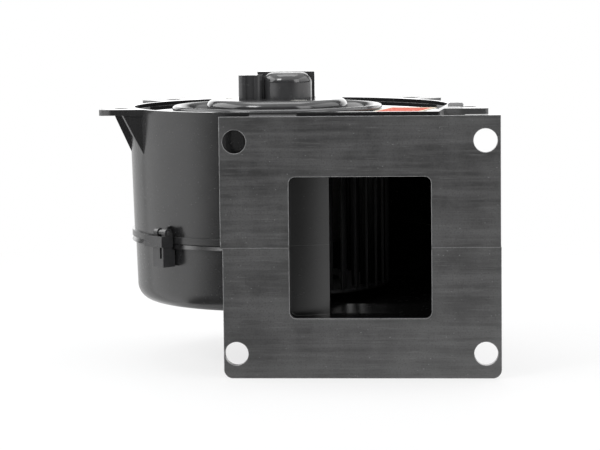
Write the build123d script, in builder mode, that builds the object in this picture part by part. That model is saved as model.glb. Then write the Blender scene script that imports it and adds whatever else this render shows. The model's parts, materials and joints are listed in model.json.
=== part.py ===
from build123d import *
import os
from math import atan, atan2, cos, degrees, radians, sin, tan

os.makedirs("parts", exist_ok=True)

# A single-inlet blower: a scroll housing in two shells, an outlet flange in front, and a brushed
# motor that hangs in the inlet and turns a forward-curved wheel.
# Millimetres. X runs to the right and Y into the blower for someone who faces the outlet, and Z
# runs up along the fan's axis. The origin is the middle of the outlet flange's front face, on the
# joint of the two shells.

# Outlet flange and opening
flange_width = 106.5
flange_reach = 50.0
flange_thickness = 3.0
flange_corner_radius = 3.4
lower_flange_width = 105.8
lower_flange_shift = 0.5
bolt_edge_x = 5.75
bolt_edge_z = 9.5
bolt_hole_diameter = 9.0
opening_width = 54.0
opening_height = 54.0
opening_corner_radius = 2.5

# Scroll
axis_x = -35.5
axis_y = 58.5
scroll_radius = 55.6
scroll_step = 2.7
wall = 1.8
upper_draft = 1.45
rim_height = 51.3
rim_wall = 2.0
plate_drop = 1.6
plate_thickness = 1.8
outlet_corner_radius = 2.5
lower_inset = 0.4
lower_draft = 1.6
floor_drop = 26.0
floor_fillet = 6.5
floor_corner_radius = 8.0
neck_run = 9.0
neck_ramp = 11.0
upper_lip_height = 2.5
lower_lip_height = 1.9
lip_proud = 1.0
lip_slant = 0.7
tongue_radius = 49.3
tongue_wall = 2.0
tongue_angle = 27.5
tongue_tip_radius = 0.9

# Ears on the rim: (place on the scroll, direction, wall to hole)
ear_thickness = 2.3
ear_width = 23.0
ear_tip = 7.5
ear_root = 17.0
ear_corner_radius = 1.5
ear_hole_diameter = 6.5
gusset_height = 15.6
gusset_depth = 7.0
gusset_thickness = 1.5
gusset_inset = 1.0

# Lug on the root of the right ear
lug_share = 0.24
lug_out = 3.6
lug_width = 6.2
lug_height = 1.1
lug_thickness = 2.0
lug_corner_radius = 0.9

# Sill between the flange's top edge and the rim
sill_width = 18.0
sill_front = 1.2

# Latches over the joint
latch_angles = (227.0, 146.0, 92.0, 38.0)
latch_share = 0.55
latch_pin_radius = 0.8
latch_pin_out = 3.6
latch_pin_height = 4.3
latch_barrel_radius = 1.8
latch_barrel_length = 7.0
latch_width = 10.4
latch_body_proud = 7.1
latch_body_top = 3.2
latch_body_bottom = -1.1
latch_tongue_width = 6.3
latch_tongue_proud = 6.1
latch_tongue_drop = 8.9
latch_tongue_margin = 0.3
latch_slot_inset = 0.9
latch_slot_width = 1.1
latch_slot_height = 4.4
latch_slot_depth = 1.0
latch_gap = 0.4
latch_web_width = 1.6
latch_web_radius = 1.4
latch_bore_clearance = 0.05

# Inlet bell mouth, struts and motor cap
throat_radius = 38.1
throat_wall = 1.8
throat_drop = 6.8
bead_radius = 42.1
bead_height = 1.9
bead_round = 1.2
seat_clearance = 0.2
cap_radius = 28.2
cap_rise = 2.7
cap_thickness = 2.0
cap_wall = 1.7
cap_shoulder = 3.0
strut_count = 4
strut_width = 3.0
strut_height = 4.2
snap_reach = 1.1
snap_height = 0.8
snap_width = 8.0
snap_play = 0.2

# Connector on the cap
boss_height = 10.4
boss_radius = 9.9
boss_offset = 4.2
boss_fillet = 4.0
spine_height = 10.6
spine_left = -8.0
spine_right = 15.0
spine_front = 2.0
spine_back = 10.5
socket_height = 9.6
socket_left = -15.0
socket_right = -5.5
socket_width = 16.0
socket_wall = 1.9
socket_floor = 2.2
socket_corner_radius = 2.6
bridge_width = 8.0
bridge_height = 9.0
groove_width = 3.6
groove_depth = 0.9
terminal_thickness = 0.8
terminal_width = 3.2
terminal_spacing = 8.0
terminal_bend = -8.6
terminal_margin = 0.7
terminal_clearance = 0.3

# Label on the top plate
label_width = 19.0
label_length = 42.0
label_thickness = 0.15
label_turn = -12.0
label_u = 50.5
label_v = -18.0

# Motor
can_radius = 25.5
can_wall = 1.2
can_length = 51.0
isolator_thickness = 1.2
isolator_inner = 18.0
isolator_skirt = 6.3
bell_thickness = 2.8
bell_spigot = 1.5
bell_boss_radius = 8.0
bearing_radius = 5.5
bearing_length = 5.0
bearing_lip = 0.4
bearing_clearance = 0.02
shaft_radius = 3.0
shaft_hole_clearance = 0.6
magnet_thickness = 2.6
magnet_length = 32.0
magnet_angle = 130.0
magnet_gap = 0.2
magnet_spring_thickness = 0.6
core_radius = 20.9
core_length = 22.0
slot_count = 10
slot_radius = 3.2
slot_circle = 15.6
slot_mouth = 1.8
coil_gap = 0.2
coil_head_height = 6.3
coil_head_inner = 8.4
coil_head_outer = 18.6
commutator_radius = 6.2
commutator_length = 8.0
commutator_riser = 1.2
commutator_slot = 0.5
washer_thickness = 0.5
washer_radius = 5.2
washer_clearance = 0.05
axial_play = 0.3
card_thickness = 1.6
card_clearance = 0.6
brush_width = 4.6
brush_height = 4.4
brush_length = 9.2
brush_clearance = 0.1
brush_air = 0.15
brush_box_inner = 8.5
brush_box_outer = 20.5
brush_box_wall = 0.6
spring_coil_radius = 1.6
spring_wire_radius = 0.3
spring_turns = 4
screw_circle = 20.0
screw_angles = (60.0, 180.0, 300.0)
screw_radius = 1.85
screw_head_radius = 3.6
screw_head_height = 1.8
screw_length = 6.5
screw_clearance = 0.25

# Wheel
wheel_radius = 44.0
wheel_inner = 37.5
wheel_floor = -20.5
wheel_plate = 1.5
wheel_top_gap = 1.5
wheel_ring_height = 2.0
wheel_ring_lip = 1.0
blade_count = 40
blade_thickness = 0.9
blade_lead = 7.0
blade_sag = 1.5
hub_radius = 9.0
hub_gap = 1.3
rib_count = 6
rib_reach = 24.0
rib_height = 6.0
rib_thickness = 1.2
insert_radius = 5.0
insert_inset = 1.0
clip_radius = 6.0
clip_thickness = 0.6
clip_gap = 0.2
shaft_tail = 2.1

# Heights that follow from the sizes above
bolt_spacing_x = flange_width - 2 * bolt_edge_x
bolt_spacing_z = 2 * (flange_reach - bolt_edge_z)
plate_top = rim_height - plate_drop
plate_under = plate_top - plate_thickness
throat_bottom = plate_top - throat_drop + plate_drop
cap_top = rim_height + cap_rise
cap_under = cap_top - cap_thickness
bell_top = cap_under - isolator_thickness
can_top = bell_top - bell_thickness
can_bottom = can_top - can_length
can_inner = can_radius - can_wall
can_floor = can_bottom + can_wall
upper_bearing_top = bell_top - bell_thickness / 2
upper_bearing_bottom = upper_bearing_top - bearing_length
lower_bearing_top = can_floor
lower_bearing_bottom = can_floor - bearing_length
hub_top = lower_bearing_bottom - bearing_lip - hub_gap
insert_length = hub_top - wheel_floor - 2 * insert_inset
commutator_top = upper_bearing_bottom - washer_thickness - 2 * axial_play
commutator_bottom = commutator_top - commutator_length
card_top = can_top - bell_spigot
card_bottom = card_top - card_thickness
core_top = commutator_bottom - axial_play - coil_head_height - coil_gap
core_bottom = core_top - core_length
magnet_bottom = (core_top + core_bottom - magnet_length) / 2
brush_middle = commutator_top - commutator_length / 2
brush_start = commutator_radius + brush_air
cup_bottom = throat_bottom
cup_inner = cap_radius - cap_wall
connector_base = cap_top
socket_ceiling = connector_base + socket_height - socket_wall
terminal_level = connector_base + (socket_floor + socket_height - socket_wall) / 2
scroll_floor = -floor_drop + wall
neck_floor = -opening_height / 2
wheel_top = throat_bottom - wheel_top_gap
front_wall_y = axis_y + scroll_step - scroll_radius
outlet_corner = opening_width / 2 + wall - axis_x
over = 1.0


def fan_plane(z, u=0.0, v=0.0, angle=0.0):
    """A level plane at height z, with its origin u and v from the fan's axis."""
    direction = (cos(radians(angle)), sin(radians(angle)), 0)
    return Plane(origin=(axis_x + u, axis_y + v, z), x_dir=direction, z_dir=(0, 0, 1))


def side_plane(u, v, angle, shift=0.0):
    """An upright plane at a wall point: its x runs outwards, its y up and its z along the wall."""
    out = (cos(radians(angle)), sin(radians(angle)))
    origin = (axis_x + u - out[1] * shift, axis_y + v + out[0] * shift, 0)
    return Plane(origin=origin, x_dir=(out[0], out[1], 0), z_dir=(out[1], -out[0], 0))


def arc_station(angle):
    """Point of the scroll's outline at an angle on its three arcs, from the fan's axis."""
    quarter = int(angle // 90)
    middle_u = -scroll_step if quarter == 2 else scroll_step
    middle_v = -scroll_step if quarter == 0 else scroll_step
    radius = scroll_radius + 2 * scroll_step * (2 - quarter)
    return middle_u + radius * cos(radians(angle)), middle_v + radius * sin(radians(angle))


def straight_station(share):
    """Point at a share of the straight outlet wall, from its arc to the flange."""
    start = (scroll_radius + 5 * scroll_step, -scroll_step)
    end = (outlet_corner, scroll_step - scroll_radius)
    return tuple(a + share * (b - a) for a, b in zip(start, end))


def straight_direction():
    """Outward direction of the straight outlet wall, in degrees."""
    start, end = straight_station(0), straight_station(1)
    return degrees(atan2(end[0] - start[0], start[1] - end[1]))


def upper_growth(z):
    """How far the upper shell's draft has opened its wall at height z."""
    return z * tan(radians(upper_draft))


def scroll_section(z, grow, corner):
    """The scroll's outline at height z, moved outwards by grow: three quarter arcs about stepped
    centres, the straight outlet wall and the straight front, with one rounded corner."""
    first = scroll_radius + grow
    second = first + 2 * scroll_step
    third = second + 2 * scroll_step
    front = scroll_step - first
    corner_point = (outlet_corner + grow, front)
    with BuildSketch(fan_plane(z)) as section:
        with BuildLine():
            CenterArc((-scroll_step, scroll_step), first, 180, 90)
            CenterArc((scroll_step, scroll_step), second, 90, 90)
            CenterArc((scroll_step, -scroll_step), third, 0, 90)
            Polyline((scroll_step + third, -scroll_step), corner_point, (-scroll_step, front))
        make_face()
        place = Vector(axis_x + corner_point[0], axis_y + corner_point[1], z)
        fillet(section.vertices().sort_by_distance(place)[0], corner)
    return section.sketch


def tongue_section(z, root_setback):
    """The cut-off between scroll and outlet: a wall that keeps close to the wheel and joins the
    front wall at the opening's left edge, or a setback to the left of it."""
    outer = tongue_radius + tongue_wall
    start, end = 270.0, 270.0 + tongue_angle
    root_u = -opening_width / 2 - axis_x - root_setback
    with BuildSketch(fan_plane(z)) as section:
        with BuildLine():
            inside = CenterArc((0, 0), tongue_radius, start, tongue_angle)
            outside = CenterArc((0, 0), outer, start - 8, tongue_angle + 8)
            Line(inside @ 1, outside @ 1)
            Line(inside @ 0, outside @ 0)
        make_face()
        tips = section.vertices().sort_by(Axis.X)[-2:]
        fillet(tips, tongue_tip_radius)
        with Locations((root_u / 2, -tongue_radius - tongue_wall)):
            Rectangle(root_u, tongue_wall)
    return section.sketch


def latch_stations():
    """Wall point and outward direction of each latch."""
    on_arcs = [(*arc_station(angle), angle) for angle in latch_angles]
    return on_arcs + [(*straight_station(latch_share), straight_direction())]


ears = {
    "left": (arc_station(200.5), 180.0, 5.8),
    "right": (straight_station(0.42), 0.0, 9.7),
    "back_right": (arc_station(48.0), 45.0, 7.3),
    "back_left": (arc_station(138.0), 135.0, 7.3),
}


def ear_plane(ear, z):
    """A level plane with its origin on the ear's hole and its x outwards."""
    (u, v), direction, reach = ears[ear]
    u = u + reach * cos(radians(direction))
    v = v + reach * sin(radians(direction))
    return fan_plane(z, u, v, direction)


# Gussets under the ears, cut from a collar that narrows down to the wall
gusset_top = rim_height - ear_thickness
gusset_root = wall / 2
gusset_foot = gusset_top - gusset_height * (1 + gusset_root / gusset_depth)
with BuildPart() as gussets:
    foot_growth = upper_growth(gusset_foot) - gusset_root
    foot_section = scroll_section(gusset_foot, foot_growth, outlet_corner_radius)
    collar_draft = degrees(atan(gusset_depth / gusset_height))
    extrude(foot_section, amount=gusset_top - gusset_foot, taper=-collar_draft)
    with BuildSketch(Plane.XY.offset(gusset_foot)) as slabs:
        for ear in ears:
            plane = ear_plane(ear, 0)
            for side in (-1, 1):
                offset_y = side * (ear_width / 2 - gusset_inset - gusset_thickness / 2)
                centre = plane.from_local_coords((-ear_root / 2 + 2, offset_y, 0))
                with Locations(Location((centre.X, centre.Y, 0), (0, 0, 1), ears[ear][1])):
                    Rectangle(ear_root + 4, gusset_thickness)
    extrude(amount=gusset_top - gusset_foot, mode=Mode.INTERSECT)

# Upper shell: half the scroll with the top plate, the rim, the ears and half the flange
with BuildPart() as upper_shell:
    extrude(scroll_section(0, 0, outlet_corner_radius), amount=rim_height, taper=-upper_draft)
    extrude(scroll_section(0, lip_proud, outlet_corner_radius), amount=upper_lip_height)
    add(gussets.part)
    for ear in ears:
        with BuildSketch(ear_plane(ear, rim_height)):
            with Locations(((ear_tip - ear_root) / 2, 0)):
                RectangleRounded(ear_root + ear_tip, ear_width, ear_corner_radius)
        extrude(amount=-ear_thickness)
    lug_u, lug_v = straight_station(lug_share)
    with BuildSketch(Plane.XZ.offset(-axis_y - lug_v)):
        with Locations((axis_x + lug_u + lug_out, rim_height)):
            RectangleRounded(lug_width, 2 * lug_height, lug_corner_radius)
    extrude(amount=-lug_thickness)
    with BuildSketch(Plane.YZ.offset(axis_x + scroll_step - sill_width / 2)):
        with BuildLine():
            Polyline(
                (sill_front, flange_reach),
                (front_wall_y, rim_height - wall / 10),
                (front_wall_y, rim_height - wall / 10 - wall),
                (sill_front, flange_reach - wall),
                close=True,
            )
        make_face()
    extrude(amount=sill_width)
    with BuildSketch(Plane.XZ):
        with Locations((0, flange_reach / 2)):
            Rectangle(flange_width, flange_reach)
    extrude(amount=-flange_thickness)
    with BuildSketch(Plane.XZ):
        with Locations((0, (opening_height / 2 + wall) / 2)):
            Rectangle(opening_width + 2 * wall, opening_height / 2 + wall)
    extrude(amount=-(front_wall_y + wall))
    barrel_middle = (latch_width - latch_barrel_length) / 2
    for u, v, angle in latch_stations():
        with BuildSketch(side_plane(u, v, angle, barrel_middle + latch_web_width / 2)):
            with Locations((latch_pin_out, latch_pin_height)):
                Circle(latch_web_radius)
            with BuildLine():
                Polyline(
                    (latch_pin_out, latch_pin_height + latch_web_radius),
                    (-wall / 2, latch_pin_height + 2 * latch_web_radius),
                    (-wall / 2, latch_pin_height - latch_web_radius / 2),
                    (latch_pin_out, latch_pin_height - latch_web_radius),
                    close=True,
                )
            make_face()
        extrude(amount=latch_web_width)
        with BuildSketch(side_plane(u, v, angle, barrel_middle + latch_web_width / 2)):
            with Locations((latch_pin_out, latch_pin_height)):
                Circle(latch_pin_radius)
        extrude(amount=latch_web_width, mode=Mode.SUBTRACT)
    inner_corner = outlet_corner_radius - wall / 2
    extrude(
        scroll_section(0, -wall, inner_corner),
        amount=plate_under,
        taper=-upper_draft,
        mode=Mode.SUBTRACT,
    )
    extrude(
        scroll_section(plate_top, upper_growth(plate_top) - rim_wall, inner_corner),
        amount=plate_drop + over,
        taper=-upper_draft,
        mode=Mode.SUBTRACT,
    )
    with BuildSketch(fan_plane(plate_under)):
        Circle(throat_radius + throat_wall + seat_clearance)
    extrude(amount=plate_drop + plate_thickness, mode=Mode.SUBTRACT)
    with BuildSketch(Plane.XZ) as upper_opening:
        RectangleRounded(opening_width, opening_height, opening_corner_radius)
        split(bisect_by=Plane.XZ.rotated((90, 0, 0)), keep=Keep.TOP)
    extrude(amount=-(front_wall_y + wall + 0.2), mode=Mode.SUBTRACT)
    extrude(tongue_section(0, 0), amount=plate_under)
    for ear in ears:
        with BuildSketch(ear_plane(ear, rim_height)):
            Circle(ear_hole_diameter / 2)
        extrude(amount=-ear_thickness, mode=Mode.SUBTRACT)
    with BuildSketch(Plane.XZ):
        with Locations((0, bolt_spacing_z / 2)):
            with GridLocations(bolt_spacing_x, 1, 2, 1):
                Circle(bolt_hole_diameter / 2)
    extrude(amount=-flange_thickness, mode=Mode.SUBTRACT)
upper_shell.part.label = "upper_shell"
export_step(upper_shell.part, "parts/upper_shell.step")

# Lower shell: the scroll's rounded floor, the deeper neck behind the opening and half the flange
with BuildPart() as lower_cavity:
    extrude(
        scroll_section(0, -lower_inset - wall, floor_corner_radius - wall),
        amount=scroll_floor,
        taper=lower_draft,
    )
    fillet(lower_cavity.faces().sort_by(Axis.Z)[0].edges(), floor_fillet - wall)

neck_base = neck_floor - wall
neck_end = front_wall_y + neck_run
with BuildPart() as neck_cavity:
    with BuildSketch(Plane.YZ.offset(-opening_width / 2)):
        with BuildLine():
            Polyline(
                (-over, 0),
                (-over, neck_floor),
                (neck_end, neck_floor),
                (neck_end + neck_ramp, scroll_floor + wall),
                (neck_end + neck_ramp, 0),
                close=True,
            )
        make_face()
    extrude(amount=opening_width)
    floor_edges = neck_cavity.edges().filter_by(Axis.Y).group_by(Axis.Z)[0]
    fillet(floor_edges, opening_corner_radius)

with BuildPart() as lower_shell:
    extrude(
        scroll_section(0, -lower_inset, floor_corner_radius),
        amount=-floor_drop,
        taper=lower_draft,
    )
    fillet(lower_shell.faces().sort_by(Axis.Z)[0].edges(), floor_fillet)
    extrude(
        scroll_section(-lower_lip_height, lip_proud, outlet_corner_radius),
        amount=lower_lip_height,
        taper=degrees(atan(lip_slant / lower_lip_height)),
    )
    with BuildSketch(Plane.YZ.offset(-opening_width / 2 - wall)):
        with BuildLine():
            Polyline(
                (0, 0),
                (0, neck_base),
                (neck_end, neck_base),
                (neck_end + neck_ramp, -floor_drop + wall / 2),
                (neck_end + neck_ramp, 0),
                close=True,
            )
        make_face()
    extrude(amount=opening_width + 2 * wall)
    with BuildSketch(Plane.XZ):
        with Locations((lower_flange_shift, -flange_reach / 2)):
            lower_flange = Rectangle(lower_flange_width, flange_reach)
        low_corners = lower_flange.vertices().group_by(Axis.Y)[0]
        fillet(low_corners, flange_corner_radius)
    extrude(amount=-flange_thickness)
    add(lower_cavity.part, mode=Mode.SUBTRACT)
    add(neck_cavity.part, mode=Mode.SUBTRACT)
    extrude(tongue_section(neck_floor - wall / 2, wall / 2), amount=wall / 2 - neck_floor)
    with BuildSketch(Plane.XZ):
        with Locations((0, -bolt_spacing_z / 2)):
            with GridLocations(bolt_spacing_x, 1, 2, 1):
                Circle(bolt_hole_diameter / 2)
    extrude(amount=-flange_thickness, mode=Mode.SUBTRACT)
lower_shell.part.label = "lower_shell"
export_step(lower_shell.part, "parts/lower_shell.step")

# Latches: each hangs from its pin on the upper shell and catches under the lower lip
for number, (u, v, angle) in enumerate(latch_stations(), start=1):
    latch_end = latch_width / 2
    tongue_end = latch_end - latch_tongue_margin
    with BuildPart() as latch:
        with BuildSketch(side_plane(u, v, angle, latch_end)):
            with Locations((latch_pin_out, latch_pin_height)):
                Circle(latch_barrel_radius)
            neck_out = lip_proud + latch_gap
            with Locations(((neck_out + latch_pin_out) / 2, (latch_pin_height + latch_body_top) / 2)):
                Rectangle(latch_pin_out - neck_out, latch_pin_height - latch_body_top)
        extrude(amount=latch_barrel_length)
        with BuildSketch(side_plane(u, v, angle, latch_end)):
            middle_out = (lip_proud + latch_gap + latch_body_proud) / 2
            with Locations((middle_out, (latch_body_top + latch_body_bottom) / 2)):
                body_depth = latch_body_proud - lip_proud - latch_gap
                Rectangle(body_depth, latch_body_top - latch_body_bottom)
        extrude(amount=latch_width)
        with BuildSketch(side_plane(u, v, angle, tongue_end)):
            catch_level = -lower_lip_height - latch_gap
            with BuildLine():
                Polyline(
                    (lip_proud + latch_gap, latch_body_bottom),
                    (lip_proud + latch_gap, catch_level),
                    (latch_gap / 2, catch_level),
                    (latch_gap / 2, -latch_tongue_drop),
                    (latch_tongue_proud, -latch_tongue_drop),
                    (latch_tongue_proud, latch_body_bottom),
                    close=True,
                )
            make_face()
        extrude(amount=latch_tongue_width)
        with BuildSketch(side_plane(u, v, angle, tongue_end - latch_slot_inset)):
            with Locations((latch_tongue_proud, latch_body_bottom - latch_slot_height / 2)):
                Rectangle(2 * latch_slot_depth, latch_slot_height)
        extrude(amount=latch_slot_width, mode=Mode.SUBTRACT)
        slit_width = latch_web_width + 2 * latch_gap
        with BuildSketch(side_plane(u, v, angle, barrel_middle + slit_width / 2)):
            with Locations((latch_pin_out, latch_pin_height)):
                Circle(latch_barrel_radius + latch_gap)
            with Locations((latch_pin_out / 2, latch_pin_height)):
                Rectangle(latch_pin_out, 2 * (latch_barrel_radius + latch_gap))
        extrude(amount=slit_width, mode=Mode.SUBTRACT)
        with BuildSketch(side_plane(u, v, angle, latch_end)):
            with Locations((latch_pin_out, latch_pin_height)):
                Circle(latch_pin_radius + latch_bore_clearance)
        extrude(amount=latch_width, mode=Mode.SUBTRACT)
    latch.part.label = f"latch_{number}"
    export_step(latch.part, f"parts/latch_{number}.step")

with BuildPart() as latch_pins:
    for u, v, angle in latch_stations():
        with BuildSketch(side_plane(u, v, angle, latch_width / 2)):
            with Locations((latch_pin_out, latch_pin_height)):
                Circle(latch_pin_radius)
        extrude(amount=latch_barrel_length)
latch_pins.part.label = "latch_pins"
export_step(latch_pins.part, "parts/latch_pins.step")

# Motor carrier: bell mouth with its bead, struts and the cap over the motor
throat_outer = throat_radius + throat_wall
bead_top = plate_top + bead_height
with BuildPart() as motor_carrier:
    with BuildSketch(Plane(origin=(axis_x, axis_y, 0), x_dir=(1, 0, 0), z_dir=(0, -1, 0))):
        with BuildLine():
            Polyline(
                (throat_radius, plate_under),
                (throat_radius, throat_bottom),
                (throat_outer, throat_bottom),
                (throat_outer, plate_top),
                (bead_radius, plate_top),
                (bead_radius, bead_top - bead_round),
            )
            RadiusArc(
                (bead_radius, bead_top - bead_round),
                (bead_radius - bead_round, bead_top),
                -bead_round,
            )
            EllipticalCenterArc(
                (bead_radius - bead_round, plate_under),
                bead_radius - bead_round - throat_radius,
                bead_top - plate_under,
                start_angle=90,
                arc_size=90,
            )
        make_face()
        with BuildLine():
            Polyline(
                (0, cap_under),
                (cup_inner, cap_under),
                (cup_inner, cup_bottom),
                (cap_radius, cup_bottom),
                (cap_radius, cap_top - cap_shoulder),
            )
            RadiusArc(
                (cap_radius, cap_top - cap_shoulder),
                (cap_radius - cap_shoulder, cap_top),
                -cap_shoulder,
            )
            Polyline((cap_radius - cap_shoulder, cap_top), (0, cap_top), (0, cap_under))
        make_face()
    revolve(axis=Axis((axis_x, axis_y, 0), (0, 0, 1)))
    with BuildSketch(fan_plane(throat_bottom)):
        strut_middle = (cap_radius + throat_radius) / 2
        with PolarLocations(strut_middle, strut_count):
            Rectangle(throat_radius - cap_radius + cap_wall, strut_width)
    extrude(amount=strut_height)
    with BuildSketch(fan_plane(plate_under - snap_play)):
        with PolarLocations(throat_outer, strut_count, start_angle=180 / strut_count):
            Rectangle(2 * snap_reach, snap_width)
        Circle(throat_outer - throat_wall / 2, mode=Mode.SUBTRACT)
    extrude(amount=-snap_height)
    with BuildSketch(fan_plane(cap_under)):
        with Locations((terminal_bend - terminal_thickness / 2, 0)):
            with GridLocations(1, terminal_spacing, 1, 2):
                Rectangle(
                    terminal_thickness + 2 * terminal_clearance,
                    terminal_width + 2 * terminal_clearance,
                )
    extrude(amount=cap_thickness, mode=Mode.SUBTRACT)
    for angle in screw_angles:
        with Locations(fan_plane(cap_top, angle=angle)):
            with Locations((screw_circle, 0)):
                CounterSinkHole(
                    screw_radius + screw_clearance,
                    screw_head_radius + screw_clearance,
                    depth=cap_thickness,
                )
motor_carrier.part.label = "motor_carrier"
export_step(motor_carrier.part, "parts/motor_carrier.step")

# Connector: a round boss, a flat-topped spine behind it and a socket that opens to the left
with BuildPart() as connector_housing:
    with BuildSketch(fan_plane(connector_base, boss_offset)):
        Circle(boss_radius)
    extrude(amount=boss_height)
    fillet(connector_housing.faces().sort_by(Axis.Z)[-1].edges(), boss_fillet)
    with BuildSketch(fan_plane(connector_base)):
        with Locations(((spine_left + spine_right) / 2, (spine_front + spine_back) / 2)):
            Rectangle(spine_right - spine_left, spine_back - spine_front)
    extrude(amount=spine_height)
    with BuildSketch(fan_plane(connector_base)):
        with Locations(((socket_right + boss_offset) / 2, 0)):
            Rectangle(boss_offset - socket_right, bridge_width)
    extrude(amount=bridge_height)
    with BuildSketch(fan_plane(connector_base)):
        socket_middle = (socket_left + socket_right) / 2
        with Locations((socket_middle, 0)):
            RectangleRounded(socket_right - socket_left, socket_width, socket_corner_radius)
        with Locations((socket_middle, -socket_width / 2)):
            Rectangle(groove_width, 2 * groove_depth, mode=Mode.SUBTRACT)
    extrude(amount=socket_height)
    with BuildSketch(fan_plane(connector_base + socket_floor)):
        socket_run = terminal_bend - socket_left
        with Locations((socket_left + socket_run / 2, 0)):
            Rectangle(socket_run, socket_width - 2 * socket_wall)
    extrude(amount=socket_ceiling - connector_base - socket_floor, mode=Mode.SUBTRACT)
    with BuildSketch(fan_plane(connector_base)):
        with Locations((terminal_bend - terminal_thickness / 2, 0)):
            with GridLocations(1, terminal_spacing, 1, 2):
                Rectangle(
                    terminal_thickness + 2 * terminal_clearance,
                    terminal_width + 2 * terminal_clearance,
                )
    extrude(amount=socket_floor + over, mode=Mode.SUBTRACT)
connector_housing.part.label = "connector_housing"
export_step(connector_housing.part, "parts/connector_housing.step")

# Terminals: two blades that rise from the brush card and turn into the socket
with BuildPart() as terminals:
    for side in (-1, 1):
        middle = fan_plane(0).from_local_coords((0, side * terminal_spacing / 2, 0))
        with BuildSketch(Plane.XZ.offset(-middle.Y - terminal_width / 2)):
            left = axis_x + socket_left + terminal_margin
            bend = axis_x + terminal_bend
            with BuildLine():
                Polyline(
                    (bend, card_top),
                    (bend, terminal_level + terminal_thickness / 2),
                    (left, terminal_level + terminal_thickness / 2),
                    (left, terminal_level - terminal_thickness / 2),
                    (bend - terminal_thickness, terminal_level - terminal_thickness / 2),
                    (bend - terminal_thickness, card_top),
                    close=True,
                )
            make_face()
        extrude(amount=terminal_width)
terminals.part.label = "terminals"
export_step(terminals.part, "parts/terminals.step")

# Label: a plain sticker on the top plate
with BuildPart() as rating_label:
    with BuildSketch(fan_plane(plate_top, label_u, label_v, label_turn)):
        Rectangle(label_width, label_length)
    extrude(amount=label_thickness)
rating_label.part.label = "rating_label"
export_step(rating_label.part, "parts/rating_label.step")

# Motor can with its lower bearing seat
fan_axis = Axis((axis_x, axis_y, 0), (0, 0, 1))
turning_plane = Plane(origin=(axis_x, axis_y, 0), x_dir=(1, 0, 0), z_dir=(0, -1, 0))
seat_bottom = lower_bearing_bottom - bearing_lip
seat_outer = bearing_radius + can_wall
shaft_hole = shaft_radius + shaft_hole_clearance
with BuildPart() as motor_can:
    with BuildSketch(turning_plane):
        with BuildLine():
            Polyline(
                (can_radius, can_top),
                (can_radius, can_bottom),
                (seat_outer, can_bottom),
                (seat_outer, seat_bottom),
                (shaft_hole, seat_bottom),
                (shaft_hole, lower_bearing_bottom),
                (bearing_radius, lower_bearing_bottom),
                (bearing_radius, can_floor),
                (can_inner, can_floor),
                (can_inner, can_top),
                close=True,
            )
        make_face()
    revolve(axis=fan_axis)
    fillet(motor_can.edges().filter_by(GeomType.CIRCLE).filter_by(
        lambda edge: edge.radius == can_radius and edge.center().Z < can_floor), can_wall)
motor_can.part.label = "motor_can"
export_step(motor_can.part, "parts/motor_can.step")

# End bell with the upper bearing seat, and the rubber ring over it
with BuildPart() as end_bell:
    with BuildSketch(turning_plane):
        with BuildLine():
            Polyline(
                (0, bell_top),
                (can_radius, bell_top),
                (can_radius, can_top),
                (can_inner - magnet_gap, can_top),
                (can_inner - magnet_gap, card_top),
                (bell_boss_radius, card_top),
                (bell_boss_radius, upper_bearing_bottom),
                (bearing_radius, upper_bearing_bottom),
                (bearing_radius, upper_bearing_top),
                (0, upper_bearing_top),
                close=True,
            )
        make_face()
    revolve(axis=fan_axis)
    with BuildSketch(fan_plane(bell_top)):
        with Locations((terminal_bend - terminal_thickness / 2, 0)):
            with GridLocations(1, terminal_spacing, 1, 2):
                Rectangle(
                    terminal_thickness + 2 * terminal_clearance,
                    terminal_width + 2 * terminal_clearance,
                )
        with PolarLocations(screw_circle, len(screw_angles), start_angle=screw_angles[0]):
            Circle(screw_radius)
    extrude(amount=card_top - bell_top, mode=Mode.SUBTRACT)
end_bell.part.label = "end_bell"
export_step(end_bell.part, "parts/end_bell.step")

with BuildPart() as isolator:
    with BuildSketch(fan_plane(cap_under)):
        Circle(cup_inner)
        Circle(isolator_inner, mode=Mode.SUBTRACT)
        with PolarLocations(screw_circle, len(screw_angles), start_angle=screw_angles[0]):
            Circle(screw_radius + screw_clearance, mode=Mode.SUBTRACT)
    extrude(amount=-isolator_thickness)
    with BuildSketch(fan_plane(bell_top)):
        Circle(cup_inner)
        Circle(can_radius, mode=Mode.SUBTRACT)
    extrude(amount=-isolator_skirt)
isolator.part.label = "isolator"
export_step(isolator.part, "parts/isolator.step")

# Magnets and the springs that hold them apart
for name, middle in (("magnet_front", 270.0), ("magnet_rear", 90.0)):
    with BuildPart() as magnet:
        with BuildSketch(fan_plane(magnet_bottom)):
            outer = can_inner - magnet_gap
            with BuildLine():
                rim = CenterArc((0, 0), outer, middle - magnet_angle / 2, magnet_angle)
                face = CenterArc(
                    (0, 0), outer - magnet_thickness, middle - magnet_angle / 2, magnet_angle
                )
                Line(rim @ 0, face @ 0)
                Line(rim @ 1, face @ 1)
            make_face()
        extrude(amount=magnet_length)
    magnet.part.label = name
    export_step(magnet.part, f"parts/{name}.step")

with BuildPart() as magnet_springs:
    with BuildSketch(fan_plane(magnet_bottom)):
        spring_angle = 180 - magnet_angle - 4
        for middle in (0.0, 180.0):
            outer = can_inner - magnet_gap
            with BuildLine():
                rim = CenterArc((0, 0), outer, middle - spring_angle / 2, spring_angle)
                face = CenterArc(
                    (0, 0),
                    outer - magnet_spring_thickness,
                    middle - spring_angle / 2,
                    spring_angle,
                )
                Line(rim @ 0, face @ 0)
                Line(rim @ 1, face @ 1)
            make_face()
    extrude(amount=magnet_length)
magnet_springs.part.label = "magnet_springs"
export_step(magnet_springs.part, "parts/magnet_springs.step")

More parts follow.
